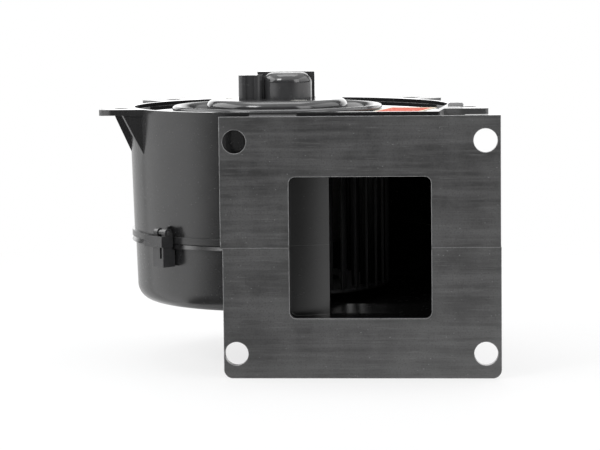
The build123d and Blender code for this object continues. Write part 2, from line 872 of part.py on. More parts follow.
# Shaft and its two sintered bearings
shaft_top = upper_bearing_top - axial_play
shaft_bottom = wheel_floor - shaft_tail
with BuildPart() as motor_shaft:
    with BuildSketch(fan_plane(shaft_bottom)):
        Circle(shaft_radius)
    extrude(amount=shaft_top - shaft_bottom)
    chamfer(motor_shaft.edges().filter_by(GeomType.CIRCLE), shaft_radius / 10)
motor_shaft.part.label = "motor_shaft"
export_step(motor_shaft.part, "parts/motor_shaft.step")

for name, bottom in (
    ("upper_bearing", upper_bearing_bottom),
    ("lower_bearing", lower_bearing_bottom),
):
    with BuildPart() as bearing:
        with BuildSketch(fan_plane(bottom)):
            Circle(bearing_radius)
            Circle(shaft_radius + bearing_clearance, mode=Mode.SUBTRACT)
        extrude(amount=bearing_length)
    bearing.part.label = name
    export_step(bearing.part, f"parts/{name}.step")

with BuildPart() as thrust_washers:
    for bottom in (
        lower_bearing_top + axial_play,
        upper_bearing_bottom - axial_play - washer_thickness,
    ):
        with BuildSketch(fan_plane(bottom)):
            Circle(washer_radius)
            Circle(shaft_radius + washer_clearance, mode=Mode.SUBTRACT)
        extrude(amount=washer_thickness)
thrust_washers.part.label = "thrust_washers"
export_step(thrust_washers.part, "parts/thrust_washers.step")

# Armature: slotted core, coils and commutator
with BuildPart() as armature_core:
    with BuildSketch(fan_plane(core_bottom)):
        Circle(core_radius)
        Circle(shaft_radius, mode=Mode.SUBTRACT)
        with PolarLocations(slot_circle, slot_count):
            Circle(slot_radius, mode=Mode.SUBTRACT)
        with PolarLocations((slot_circle + core_radius) / 2 + over, slot_count):
            Rectangle(core_radius - slot_circle + 2 * over, slot_mouth, mode=Mode.SUBTRACT)
    extrude(amount=core_length)
armature_core.part.label = "armature_core"
export_step(armature_core.part, "parts/armature_core.step")

with BuildPart() as armature_windings:
    with BuildSketch(turning_plane):
        for bottom in (core_bottom - coil_gap - coil_head_height, core_top + coil_gap):
            middle = ((coil_head_inner + coil_head_outer) / 2, bottom + coil_head_height / 2)
            with Locations(middle):
                RectangleRounded(
                    coil_head_outer - coil_head_inner, coil_head_height, coil_head_height / 3
                )
    revolve(axis=fan_axis)
    with BuildSketch(fan_plane(core_bottom - coil_head_height / 2)):
        with PolarLocations(slot_circle, slot_count):
            Circle(slot_radius - coil_gap)
    extrude(amount=core_length + coil_head_height)
armature_windings.part.label = "armature_windings"
export_step(armature_windings.part, "parts/armature_windings.step")

with BuildPart() as commutator:
    with BuildSketch(fan_plane(commutator_bottom)):
        Circle(commutator_radius)
        Circle(shaft_radius, mode=Mode.SUBTRACT)
    extrude(amount=commutator_length)
    with BuildSketch(fan_plane(commutator_bottom)):
        Circle(commutator_radius + commutator_riser)
        Circle(shaft_radius, mode=Mode.SUBTRACT)
    extrude(amount=commutator_riser)
    with BuildSketch(fan_plane(commutator_bottom)):
        with PolarLocations(commutator_radius + commutator_riser, slot_count):
            Rectangle(2 * commutator_riser + 2 * over, commutator_slot)
    extrude(amount=commutator_length, mode=Mode.SUBTRACT)
commutator.part.label = "commutator"
export_step(commutator.part, "parts/commutator.step")

# Brush gear: card, boxes, brushes and their springs
with BuildPart() as brush_card:
    with BuildSketch(fan_plane(card_bottom)):
        Circle(can_inner - magnet_gap)
        Circle(bell_boss_radius + card_clearance, mode=Mode.SUBTRACT)
    extrude(amount=card_thickness)
brush_card.part.label = "brush_card"
export_step(brush_card.part, "parts/brush_card.step")

pocket_height = brush_height + 2 * brush_clearance
pocket_width = brush_width + 2 * brush_clearance
pocket_bottom = brush_middle - pocket_height / 2
with BuildPart() as brush_holders:
    for side, turn in ((-1, 180.0), (1, 0.0)):
        with BuildSketch(fan_plane(pocket_bottom - brush_box_wall, angle=turn)):
            with Locations(((brush_box_inner + brush_box_outer + brush_box_wall) / 2, 0)):
                Rectangle(
                    brush_box_outer + brush_box_wall - brush_box_inner,
                    pocket_width + 2 * brush_box_wall,
                )
        extrude(amount=card_bottom - pocket_bottom + brush_box_wall)
        with BuildSketch(fan_plane(pocket_bottom, angle=turn)):
            with Locations(((brush_box_inner + brush_box_outer - over) / 2, 0)):
                Rectangle(brush_box_outer - brush_box_inner + over, pocket_width)
        extrude(amount=pocket_height, mode=Mode.SUBTRACT)
brush_holders.part.label = "brush_holders"
export_step(brush_holders.part, "parts/brush_holders.step")

for name, turn in (("left", 180.0), ("right", 0.0)):
    with BuildPart() as brush:
        with BuildSketch(fan_plane(brush_middle - brush_height / 2, angle=turn)):
            with Locations((brush_start + brush_length / 2 - over, 0)):
                Rectangle(brush_length + 2 * over, brush_width)
            Circle(brush_start, mode=Mode.SUBTRACT)
        extrude(amount=brush_height)
    brush.part.label = f"brush_{name}"
    export_step(brush.part, f"parts/brush_{name}.step")
    brush_back = brush_start + brush_length
    spring_start = brush_back + spring_wire_radius + brush_clearance
    spring_end = brush_box_outer - spring_wire_radius - brush_clearance
    plane = fan_plane(brush_middle, angle=turn)
    with BuildPart() as brush_spring:
        with BuildLine():
            coil = Helix(
                pitch=(spring_end - spring_start) / spring_turns,
                height=spring_end - spring_start,
                radius=spring_coil_radius,
                center=plane.from_local_coords((spring_start, 0, 0)),
                direction=plane.x_dir,
            )
        with BuildSketch(Plane(origin=coil @ 0, z_dir=coil % 0)):
            Circle(spring_wire_radius)
        sweep()
    brush_spring.part.label = f"brush_spring_{name}"
    export_step(brush_spring.part, f"parts/brush_spring_{name}.step")

# Screws that hold the motor up to the cap
with BuildPart() as motor_screws:
    for angle in screw_angles:
        with BuildSketch(fan_plane(cap_top, angle=angle)):
            with Locations((screw_circle, 0)):
                Circle(screw_head_radius)
        extrude(amount=-screw_head_height, taper=degrees(atan(
            (screw_head_radius - screw_radius) / screw_head_height)))
        with BuildSketch(fan_plane(cap_top, angle=angle)):
            with Locations((screw_circle, 0)):
                Circle(screw_radius)
        extrude(amount=-screw_length)
motor_screws.part.label = "motor_screws"
export_step(motor_screws.part, "parts/motor_screws.step")

# Wheel: plate, hub and ribs below, forward-curved blades, and a ring at the inlet end
def blade_section():
    """One blade, seen from above: thin, with its tip ahead of its root as the wheel turns."""
    lead = radians(-blade_lead)
    tip = (wheel_radius * cos(lead), wheel_radius * sin(lead))
    middle = ((wheel_inner + tip[0]) / 2 + blade_sag / 2, tip[1] / 2 + blade_sag)
    half = blade_thickness / 2
    with BuildSketch() as section:
        with BuildLine():
            back = ThreePointArc(
                (wheel_inner, half), (middle[0] + half, middle[1] + half), (tip[0], tip[1] + half)
            )
            front = ThreePointArc(
                (wheel_inner, -half), (middle[0] - half, middle[1] - half), (tip[0], tip[1] - half)
            )
            Line(back @ 0, front @ 0)
            Line(back @ 1, front @ 1)
        make_face()
    return section.sketch


blade_bottom = wheel_floor + wheel_plate / 2
ring_bottom = wheel_top - wheel_ring_height
with BuildPart() as blower_wheel:
    with BuildSketch(fan_plane(wheel_floor)):
        Circle(wheel_radius)
    extrude(amount=wheel_plate)
    with BuildSketch(fan_plane(ring_bottom)):
        Circle(wheel_radius + wheel_ring_lip)
        Circle(wheel_inner, mode=Mode.SUBTRACT)
    extrude(amount=wheel_ring_height)
    with BuildSketch(fan_plane(blade_bottom)):
        with PolarLocations(0, blade_count):
            add(blade_section())
    extrude(amount=ring_bottom + wheel_ring_height / 2 - blade_bottom)
    with BuildSketch(fan_plane(wheel_floor)):
        Circle(hub_radius)
    extrude(amount=hub_top - wheel_floor)
    with BuildSketch(fan_plane(wheel_floor)):
        with PolarLocations((insert_radius + rib_reach) / 2, rib_count):
            Rectangle(rib_reach - insert_radius, rib_thickness)
    extrude(amount=wheel_plate + rib_height)
    with BuildSketch(fan_plane(wheel_floor)):
        Circle(insert_radius)
    extrude(amount=hub_top - wheel_floor, mode=Mode.SUBTRACT)
blower_wheel.part.label = "blower_wheel"
export_step(blower_wheel.part, "parts/blower_wheel.step")

insert_bottom = (wheel_floor + hub_top - insert_length) / 2
with BuildPart() as wheel_insert:
    with BuildSketch(fan_plane(insert_bottom)):
        Circle(insert_radius)
        Circle(shaft_radius, mode=Mode.SUBTRACT)
    extrude(amount=insert_length)
wheel_insert.part.label = "wheel_insert"
export_step(wheel_insert.part, "parts/wheel_insert.step")

with BuildPart() as wheel_clip:
    with BuildSketch(fan_plane(wheel_floor - clip_gap)):
        Circle(clip_radius)
        Circle(shaft_radius, mode=Mode.SUBTRACT)
        with PolarLocations(shaft_radius, 6):
            Rectangle(clip_radius - shaft_radius, clip_thickness, mode=Mode.SUBTRACT)
    extrude(amount=-clip_thickness)
wheel_clip.part.label = "wheel_clip"
export_step(wheel_clip.part, "parts/wheel_clip.step")
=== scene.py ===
import json
import math

import bmesh
import bpy
from mathutils import Matrix, Vector


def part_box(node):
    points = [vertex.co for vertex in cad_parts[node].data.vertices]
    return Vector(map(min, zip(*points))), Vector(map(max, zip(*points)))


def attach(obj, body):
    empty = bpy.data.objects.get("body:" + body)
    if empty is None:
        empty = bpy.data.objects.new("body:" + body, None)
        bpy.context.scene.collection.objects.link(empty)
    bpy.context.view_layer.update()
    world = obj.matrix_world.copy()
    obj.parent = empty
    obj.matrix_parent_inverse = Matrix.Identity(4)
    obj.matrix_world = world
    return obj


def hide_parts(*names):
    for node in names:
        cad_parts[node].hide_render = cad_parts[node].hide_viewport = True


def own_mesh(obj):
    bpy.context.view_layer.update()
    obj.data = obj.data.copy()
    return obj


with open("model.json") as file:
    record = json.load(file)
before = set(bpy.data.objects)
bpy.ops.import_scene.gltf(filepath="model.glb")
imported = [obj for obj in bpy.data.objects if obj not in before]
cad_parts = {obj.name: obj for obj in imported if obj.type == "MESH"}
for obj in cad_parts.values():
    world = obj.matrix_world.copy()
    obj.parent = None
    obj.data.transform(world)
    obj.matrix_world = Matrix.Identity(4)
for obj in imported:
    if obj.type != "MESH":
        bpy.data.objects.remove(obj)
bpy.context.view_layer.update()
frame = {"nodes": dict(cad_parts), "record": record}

# Looks of the blower motor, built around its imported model. Metres, in the model's own frame:
# X to the right, Y into the blower, Z up along the fan's axis. The origin is the middle of the
# outlet flange's front face.
nodes = frame["nodes"]

AXIS = Vector((-0.0355, 0.0585, 0.0))
FLOOR = -0.0500
COOL_TINT = (1.0, 1.0, 1.03)
PLASTIC_BUMP = 0.0008
WELD_DISTANCE = 1e-6
SHARP_ANGLE = math.radians(35.0)


# Finishes

class Wire:
    """A socket of a finish that takes part in sums: each operator adds the Math node it needs."""

    def __init__(self, finish, socket):
        self.finish = finish
        self.socket = socket

    def maths(self, operation, *values):
        return self.finish.node("ShaderNodeMath", {"operation": operation}, dict(enumerate(values)))

    def __add__(self, other):
        return self.maths("ADD", self, other)

    def __sub__(self, other):
        return self.maths("SUBTRACT", self, other)

    def __rsub__(self, other):
        return self.maths("SUBTRACT", other, self)

    def __mul__(self, other):
        return self.maths("MULTIPLY", self, other)

    def __truediv__(self, other):
        return self.maths("DIVIDE", self, other)

    def __rtruediv__(self, other):
        return self.maths("DIVIDE", other, self)

    def __pow__(self, other):
        return self.maths("POWER", self, other)

    def __gt__(self, other):
        return self.maths("GREATER_THAN", self, other)

    def __or__(self, other):
        return self.maths("MAXIMUM", self, other)

    def __abs__(self):
        return self.maths("ABSOLUTE", self)

    __radd__ = __add__
    __rmul__ = __mul__


class Tree:
    """A node tree, filled one node at a time."""

    def __init__(self, tree):
        self.tree = tree
        self.tree.nodes.clear()

    def node(self, kind, settings=(), sockets=(), output=0):
        """Adds a node: its settings first, then its sockets' values or links. Gives the output
        with that name or place in the row."""
        made = self.tree.nodes.new(kind)
        for name, value in dict(settings).items():
            setattr(made, name, value)
        for key, value in dict(sockets).items():
            if isinstance(value, Wire):
                self.tree.links.new(value.socket, made.inputs[key])
            else:
                made.inputs[key].default_value = value
        return Wire(self, made.outputs[output]) if len(made.outputs) else None

    def axes(self, point):
        """The three numbers of a vector, one wire each."""
        split = self.node("ShaderNodeSeparateXYZ", {}, {0: point}).socket.node
        return [Wire(self, number) for number in split.outputs]


class Finish(Tree):
    """One material, or the world, and the nodes that make it."""

    def __init__(self, name, owner=None):
        self.material = owner or bpy.data.materials.new(name)
        self.material.use_nodes = True
        super().__init__(self.material.node_tree)

    def place(self, centre=(0, 0, 0), turn=(0, 0, 0), stretch=(1, 1, 1)):
        """Object coordinates, moved to a centre, turned and stretched."""
        raw = self.node("ShaderNodeTexCoord", output="Object")
        moved = self.node("ShaderNodeMapping", {"vector_type": "TEXTURE"}, {
            "Vector": raw, "Location": tuple(centre), "Rotation": tuple(turn)})
        return self.node("ShaderNodeMapping", {}, {"Vector": moved, "Scale": stretch})

    def noise(self, point, scale, detail, roughness=0.5):
        return self.node("ShaderNodeTexNoise", {}, {
            "Vector": point, "Scale": scale, "Detail": detail, "Roughness": roughness})

    def cells(self, point, scale):
        """The distance to the nearest of many scattered points."""
        return self.node("ShaderNodeTexVoronoi", {}, {"Vector": point, "Scale": scale})

    def step(self, value, low, high, start=0.0, end=1.0):
        """Goes smoothly from start to end as the value goes from low to high."""
        return self.node("ShaderNodeMapRange", {"interpolation_type": "SMOOTHSTEP"}, {
            0: value, 1: low, 2: high, 3: start, 4: end})

    def blend(self, share, first, second):
        """A colour between two colours."""
        return self.node("ShaderNodeMix", {"data_type": "RGBA"}, {
            0: share, 6: first, 7: second}, output=2)

    def bump(self, height, depth, strength, normal=None):
        sockets = {"Height": height, "Distance": depth, "Strength": strength}
        if normal is not None:
            sockets["Normal"] = normal
        return self.node("ShaderNodeBump", {}, sockets)

    def soft_edges(self, radius, samples=4):
        """The surface's direction with its edges rounded by a small radius."""
        return self.node("ShaderNodeBevel", {"samples": samples}, {"Radius": radius})

    def edge_share(self, rounded, low=0.02, high=0.25):
        """One along the sharp edges and nought away from them."""
        flat = self.node("ShaderNodeNewGeometry", output="Normal")
        return self.step(1 - self.dot(rounded, flat), low, high)

    def dot(self, first, second):
        return self.node("ShaderNodeVectorMath", {"operation": "DOT_PRODUCT"}, {
            0: first, 1: second}, output="Value")

    def surface(self, **sockets):
        """Ends the tree in one Principled surface; underscores stand for spaces."""
        named = {key.replace("_", " "): value for key, value in sockets.items()}
        shader = self.node("ShaderNodeBsdfPrincipled", {}, named)
        self.node("ShaderNodeOutputMaterial", {}, {"Surface": shader})
        return self.material


def grey(level, tint=(1.0, 1.0, 1.0)):
    """A grey of one level, or the same with a tint."""
    return (level * tint[0], level * tint[1], level * tint[2], 1.0)


def moulded_plastic(name, level, gloss, sheen, dust, peel=0.35):
    """Black moulded plastic of one gloss: a carrier, a latch or a wheel."""
    skin = Finish(name)
    rounded = skin.soft_edges(0.0002)
    look = plastic_look(skin, skin.place(), rounded, level, gloss, peel, dust)
    return skin.surface(Base_Color=look["colour"], Roughness=look["rough"],
                        Specular_IOR_Level=sheen,
                        Normal=skin.bump(look["height"], PLASTIC_BUMP, 0.5, rounded))


def plastic_look(skin, point, rounded, level, gloss, peel, dust):
    """Colour, roughness and height of black moulded plastic: slow waves of shrinkage, a fine
    peel, edges rubbed and lightened as a painted highlight, hair scratches and a little dust."""
    rubbed_and_highlit = skin.edge_share(rounded)
    waves = skin.noise(point, 38.0, 2.0)
    grain = skin.noise(point, 2100.0, 2.0)
    clouds = skin.noise(point, 95.0, 4.0, 0.6)
    cross = skin.noise(skin.place(turn=(0.3, 0.2, 0.5), stretch=(60.0, 1500.0, 900.0)), 1.0, 2.0)
    hairs = skin.step(cross, 0.68, 0.74)
    specks = skin.step(skin.cells(point, 620.0), 0.10, 0.05)
    chosen = skin.step(skin.noise(point, 260.0, 1.0), 0.56, 0.62)
    motes = specks * chosen * dust
    colour = skin.blend(skin.step(clouds, 0.35, 0.7), grey(level, COOL_TINT),
                        grey(level * 1.35, COOL_TINT))
    colour = skin.blend(hairs * 0.25, colour, grey(level * 4.0))
    colour = skin.blend(motes * 0.55, colour, grey(0.16))
    # Edges are painted lighter: partly rubbed wear, partly a painted highlight.
    return {"colour": skin.blend(rubbed_and_highlit * 0.5, colour, grey(0.07)),
            "rough": gloss + clouds * 0.04 + hairs * 0.10 + rubbed_and_highlit * 0.15 + motes * 0.3,
            "height": waves * 0.35 + grain * peel * 0.006 - hairs * 0.004}


def flange_face_look(skin, point, up, grain):
    """Colour, roughness and height of the flange's front face: satin plastic with flow streaks
    from the gate, fine lines, pale flecks and painted light towards the bottom."""
    streaks = skin.noise(skin.place(stretch=(14.0, 1.0, 420.0)), 1.0, 4.0, 0.65)
    fine = skin.noise(skin.place(stretch=(75.0, 1.0, 2600.0)), 1.0, 3.0, 0.6)
    lines = skin.step(fine, 0.56, 0.72)
    clouds = skin.noise(point, 60.0, 4.0, 0.62)
    spots = skin.step(skin.cells(skin.place(stretch=(1.0, 1.0, 1.6)), 460.0), 0.16, 0.07)
    flecks = spots * skin.step(skin.noise(point, 170.0, 3.0, 0.7), 0.50, 0.60)
    # The face is painted lighter towards the bottom: painted light.
    low = skin.step(up, 0.03, -0.045)
    colour = skin.blend(skin.step(clouds, 0.35, 0.65), grey(0.028), grey(0.062))
    colour = skin.blend(skin.step(streaks, 0.40, 0.66) * 0.6, colour, grey(0.090))
    colour = skin.blend(lines * 0.55 + low * 0.12, colour, grey(0.13))
    colour = skin.blend(skin.step(grain, 0.50, 0.66) * 0.35, colour, grey(0.012))
    return {"colour": skin.blend(flecks * 0.55, colour, grey(0.26)),
            "rough": 0.20 + streaks * 0.14,
            "height": streaks * 0.02 + lines * 0.006 + grain * 0.004}


def housing_zones(skin, point, grain):
    """Where the places with a look of their own are on the two shells, each as a share from
    nought to one."""
    across, depth, up = skin.axes(point)
    facing = skin.node("ShaderNodeNewGeometry", output="Normal")
    apart = skin.node("ShaderNodeVectorMath", {"operation": "SUBTRACT"}, {
        0: point, 1: tuple(AXIS)})
    outward = skin.dot(apart, facing)
    flat = skin.node("ShaderNodeVectorMath", {"operation": "MULTIPLY"}, {
        0: apart, 1: (1.0, 1.0, 0.0)})
    radius = skin.node("ShaderNodeVectorMath", {"operation": "LENGTH"}, {0: flat},
                       output="Value")
    behind = skin.step(depth, 0.001, 0.004)
    off_joint = skin.step(abs(up), 0.0015, 0.003)
    # The outlet's neck is painted near black: painted shade.
    neck = skin.step(abs(across), 0.0290, 0.0284) * skin.step(abs(up), 0.0290, 0.0284) * behind
    # Inside the scroll is painted lighter: partly dust, partly painted light.
    inside = skin.step(up, 0.047, 0.045) * skin.step(outward, -0.012, -0.02) * behind
    # The ears' tips are painted paler: partly scuffs, partly a painted sheen on their rounded ends.
    ears = skin.step(radius, 0.0690, 0.0705) * skin.step(up, 0.0480, 0.0486) * \
        skin.step(depth, 0.008, 0.009)
    scuffs_and_sheen = skin.step(grain, 0.2, 0.6, 0.5, 0.9) * skin.step(across, 0.036, 0.040, 1.0, 0.5)
    plate = skin.step(skin.axes(facing)[2], 0.97, 0.99) * skin.step(up, 0.045, 0.046)
    rim_wall = skin.step(outward, -0.01, -0.02) * skin.step(up, 0.0490, 0.0494)
    # Everything above the rim's top height is painted pale grey: a painted highlight.
    return {"face": skin.step(depth, 0.0009, 0.0003), "neck": neck,
            "inside": inside * off_joint * (1 - neck), "ears": ears * scuffs_and_sheen,
            "painted_top_highlight": skin.step(up, 0.05128, 0.05140), "mirror": plate | rim_wall}


def housing_plastic():
    """The shells' plastic: glossy on the walls, a mirror on the top plate and the rim's inner
    wall, satin on the flange's front face with bright edges, partly wear and partly painted
    highlight, lighter inside the scroll with dust and painted light, painted shade in the
    outlet's neck, scuffs and a painted sheen on the ears, and a painted highlight on the top."""
    skin = Finish("housing_black")
    point = skin.place()
    depth, up = skin.axes(point)[1:]
    rounded = skin.soft_edges(skin.step(depth, 0.004, 0.002, 0.00015, 0.0005), 6)
    grain = skin.noise(point, 1500.0, 2.0, 0.6)
    wall = plastic_look(skin, point, rounded, level=0.014, gloss=0.20, peel=0.3, dust=1.0)
    front = flange_face_look(skin, point, up, grain)
    zone = housing_zones(skin, point, grain)
    # The flange's front edges are painted bright: partly wear, partly a painted highlight.
    worn_and_highlit = skin.edge_share(rounded, 0.01, 0.16) * zone["face"] * \
        skin.step(abs(up), 0.0006, 0.0014, 0.25, 1.0)
    worn_and_highlit = worn_and_highlit * skin.step(skin.noise(point, 420.0, 3.0, 0.7), 0.30, 0.52, 0.55, 1.0)
    # Mottle of the lighter inside: dust and painted light.
    dust_and_painted_light = skin.step(skin.noise(point, 75.0, 4.0, 0.65), 0.3, 0.7, 0.6, 1.0)
    colour = skin.blend(zone["face"], wall["colour"], front["colour"])
    # Over the wall's colour, in turn: edge wear and painted highlight, dust and painted light
    # inside, painted shade in the neck, scuffs and painted sheen on the ears, painted highlight on
    # top.
    for share, level in ((worn_and_highlit * 0.95, 0.55), (zone["inside"] * dust_and_painted_light, 0.08),
                         (zone["neck"], 0.004), (zone["ears"], 0.13), (zone["painted_top_highlight"], 0.40)):
        colour = skin.blend(share, colour, grey(level))
    dusty = (zone["inside"] | zone["neck"]) * (1 - zone["neck"])
    rough = wall["rough"] * (1 - zone["mirror"] * 0.96) + zone["face"] * front["rough"] + \
        (dusty + zone["ears"] + zone["painted_top_highlight"]) * 0.3
    height = wall["height"] * (1 - zone["mirror"]) + zone["face"] * front["height"]
    return skin.surface(Base_Color=colour, Roughness=rough, Specular_IOR_Level=1.0,
                        Normal=skin.bump(height, PLASTIC_BUMP, 0.5, rounded))


def worn_metal(name, colour, second, rough, brushed=(30.0, 30.0, 1400.0), depth=0.00002,
               spots=0.0):
    """Bare or plated metal: fine tool lines, blotches of oxide and rubbed edges."""
    skin = Finish(name)
    point = skin.place(AXIS)
    rounded = skin.soft_edges(0.0002)
    rubbed_and_highlit = skin.edge_share(rounded)
    lines = skin.noise(skin.place(AXIS, stretch=brushed), 1.0, 3.0, 0.6)
    blotches = skin.noise(point, 240.0, 4.0, 0.6)
    stain = skin.step(blotches, 0.52, 0.68)
    shade = skin.blend(stain * 0.7, colour, second)
    shade = skin.blend(skin.step(lines, 0.35, 0.65) * 0.25, shade, second)
    if spots:
        pits = skin.step(skin.cells(point, 1500.0), 0.22, 0.08)
        shade = skin.blend(pits * spots, shade, second)
    return skin.surface(Base_Color=shade, Metallic=1.0,
                        Roughness=rough + stain * 0.15 + lines * 0.12 - rubbed_and_highlit * 0.08,
                        Normal=skin.bump(lines, depth, 0.6, rounded))


def label_paper():
    """A plain sticker: a red field with a cream edge, faintly fibrous and worn in spots."""
    skin = Finish("label_paper")
    middle, turn = AXIS + Vector((0.0505, -0.018, 0.0)), math.radians(-12.0)
    point = skin.place(middle, (0, 0, turn))
    across, along = skin.axes(point)[:2]
    wander = skin.noise(point, 400.0, 2.0) * 0.0004
    inside = skin.step(abs(along) + wander, 0.0188, 0.0183) * \
        skin.step(abs(across) + wander, 0.0085, 0.0081)
    fibres = skin.noise(skin.place(stretch=(2600.0, 420.0, 1.0)), 1.0, 4.0, 0.6)
    worn_and_highlit = skin.step(skin.noise(point, 330.0, 4.0, 0.7), 0.60, 0.72)
    red = skin.blend(skin.step(fibres, 0.35, 0.65), (0.55, 0.085, 0.05, 1), (0.68, 0.15, 0.09, 1))
    red = skin.blend(worn_and_highlit * 0.5, red, (0.75, 0.45, 0.35, 1))
    cream = skin.blend(skin.step(fibres, 0.3, 0.7), (0.80, 0.74, 0.60, 1), (0.66, 0.58, 0.44, 1))
    return skin.surface(Base_Color=skin.blend(inside, cream, red),
                        Roughness=0.55 + fibres * 0.15, Specular_IOR_Level=0.12,
                        Normal=skin.bump(fibres, 0.00004, 0.6))


def ground_ferrite():
    """Dark sintered magnet with a fine ground face."""
    skin = Finish("ground_ferrite")
    point = skin.place()
    grain = skin.noise(point, 1800.0, 4.0, 0.7)
    lines = skin.noise(skin.place(stretch=(1600.0, 1600.0, 60.0)), 1.0, 2.0)
    pits = skin.step(skin.cells(point, 900.0), 0.12, 0.05)
    colour = skin.blend(skin.step(grain, 0.35, 0.65), grey(0.035), grey(0.06))
    colour = skin.blend(pits * 0.7, colour, grey(0.015))
    return skin.surface(Base_Color=colour, Roughness=0.5 + grain * 0.2,
                        Normal=skin.bump(grain * 0.5 + lines * 0.4 - pits, 0.00005, 0.6))


def laminated_steel():
    """A stack of thin steel sheets: one fine line for each, with a coat of varnish."""
    skin = Finish("laminated_steel")
    up = skin.axes(skin.place(AXIS))[2]
    half_sheet = 0.00025
    sheet = up.maths("PINGPONG", up, half_sheet) / half_sheet
    groove = skin.step(sheet, 0.0, 0.35)
    blotch = skin.noise(skin.place(), 320.0, 3.0)
    colour = skin.blend(groove, grey(0.04), grey(0.32))
    colour = skin.blend(skin.step(blotch, 0.5, 0.7) * 0.6, colour, (0.16, 0.09, 0.05, 1))
    return skin.surface(Base_Color=colour, Metallic=0.9, Roughness=0.35 + blotch * 0.25,
                        Normal=skin.bump(groove, 0.00006, 0.7))


def wound_copper():
    """Enamelled copper wire wound round and round, seen as fine turns under varnish, with
    painted shade between the turns.
    """
    skin = Finish("wound_copper")
    point = skin.place(AXIS)
    across, depth = skin.axes(point)[:2]
    angle = depth.maths("ARCTAN2", depth, across)
    turns = skin.noise(skin.place(AXIS, stretch=(900.0, 900.0, 2600.0)), 1.0, 2.0)
    wire = angle.maths("SINE", angle * 120.0 + turns * 6.0)
    strand = skin.step(wire, -0.9, 0.6)
    varnish = skin.noise(point, 180.0, 3.0)
    # Dark between the turns: painted shade in the crevices between the wires.
    colour = skin.blend(strand, (0.10, 0.03, 0.012, 1), (0.55, 0.22, 0.09, 1))
    colour = skin.blend(skin.step(varnish, 0.45, 0.7) * 0.5, colour, (0.30, 0.10, 0.03, 1))
    return skin.surface(Base_Color=colour, Metallic=0.75, Roughness=0.25 + varnish * 0.2,
                        Normal=skin.bump(strand, 0.00012, 0.8))


def pressed_board(name, dark, light):
    """Pressed fibre board with flecks."""
    skin = Finish(name)
    point = skin.place()
    fibres = skin.noise(skin.place(stretch=(300.0, 1700.0, 900.0)), 1.0, 4.0, 0.65)
    flecks = skin.step(skin.cells(point, 1100.0), 0.14, 0.06)
    colour = skin.blend(skin.step(fibres, 0.3, 0.7), dark, light)
    colour = skin.blend(flecks * 0.5, colour, dark)
    return skin.surface(Base_Color=colour, Roughness=0.5 + fibres * 0.2,
                        Normal=skin.bump(fibres, 0.00004, 0.6))


def soft_rubber():
    """Matt rubber with bloom."""
    skin = Finish("soft_rubber")
    point = skin.place()
    bloom = skin.noise(point, 160.0, 4.0, 0.6)
    grain = skin.noise(point, 2400.0, 2.0)
    colour = skin.blend(skin.step(bloom, 0.45, 0.75), grey(0.018), grey(0.05))
    return skin.surface(Base_Color=colour, Roughness=0.62 + bloom * 0.2,
                        Normal=skin.bump(grain, 0.00003, 0.5, skin.soft_edges(0.0003)))


def carbon_block():
    """Pressed carbon: grainy, with a dull shine."""
    skin = Finish("carbon_block")
    point = skin.place()
    grain = skin.noise(point, 3200.0, 3.0, 0.7)
    glint = skin.step(skin.cells(point, 2600.0), 0.16, 0.06)
    colour = skin.blend(glint, grey(0.02), grey(0.12))
    return skin.surface(Base_Color=colour, Roughness=0.45 + grain * 0.25, Metallic=0.2,
                        Normal=skin.bump(grain, 0.00003, 0.6, skin.soft_edges(0.00015)))


FINISHES = {
    "housing_black": housing_plastic(),
    "carrier_black": moulded_plastic("carrier_black", level=0.045, gloss=0.12, sheen=0.8,
                                     dust=0.8, peel=0.2),
    "latch_black": moulded_plastic("latch_black", level=0.028, gloss=0.12, sheen=0.8, dust=0.5),
    # The wheel is painted a deeper black than the shells: its own black, deepened as painted shade.
    "wheel_black": moulded_plastic("wheel_black", level=0.007, gloss=0.5, sheen=0.3,
                                   dust=0.4, peel=0.8),
    "label_red": label_paper(),
    "can_steel": worn_metal("can_steel", (0.62, 0.62, 0.60, 1), (0.42, 0.40, 0.34, 1), 0.28),
    "zinc_cast": worn_metal("zinc_cast", (0.58, 0.58, 0.59, 1), (0.36, 0.36, 0.37, 1), 0.42,
                            (500.0, 500.0, 500.0), spots=0.5),
    "ferrite": ground_ferrite(),
    "spring_steel": worn_metal("spring_steel", (0.42, 0.43, 0.45, 1), (0.20, 0.17, 0.15, 1), 0.3,
                               (1200.0, 1200.0, 60.0)),
    "shaft_steel": worn_metal("shaft_steel", (0.66, 0.66, 0.67, 1), (0.46, 0.45, 0.44, 1), 0.16,
                              (60.0, 60.0, 3000.0), depth=0.000006),
    "pin_steel": worn_metal("pin_steel", (0.55, 0.55, 0.56, 1), (0.3, 0.28, 0.26, 1), 0.25,
                            (600.0, 600.0, 600.0)),
    "screw_steel": worn_metal("screw_steel", (0.60, 0.60, 0.58, 1), (0.40, 0.38, 0.30, 1), 0.28,
                              (300.0, 300.0, 2400.0)),
    "lamination": laminated_steel(),
    "copper": wound_copper(),
    "commutator_copper": worn_metal("commutator_copper", (0.72, 0.38, 0.24, 1),
                                    (0.30, 0.14, 0.09, 1), 0.25, (60.0, 60.0, 2800.0)),
    "bronze": worn_metal("bronze", (0.50, 0.34, 0.20, 1), (0.24, 0.15, 0.09, 1), 0.4,
                         (900.0, 900.0, 900.0), spots=0.7),
    "brass": worn_metal("brass", (0.76, 0.60, 0.30, 1), (0.50, 0.36, 0.16, 1), 0.24,
                        (900.0, 60.0, 900.0)),
    "card_brown": pressed_board("card_brown", (0.10, 0.045, 0.018, 1), (0.25, 0.12, 0.05, 1)),
    "rubber": soft_rubber(),
    "carbon": carbon_block(),
}

node_slots = {part["node"]: part["material_slot"] for part in frame["record"]["subparts"]}
for name, node in nodes.items():
    finish = FINISHES[node_slots[name]]
    if name in ("motor_carrier", "connector_housing"):
        finish = FINISHES["carrier_black"]
    node.data.materials.clear()
    node.data.materials.append(finish)


# Pieces that repeat

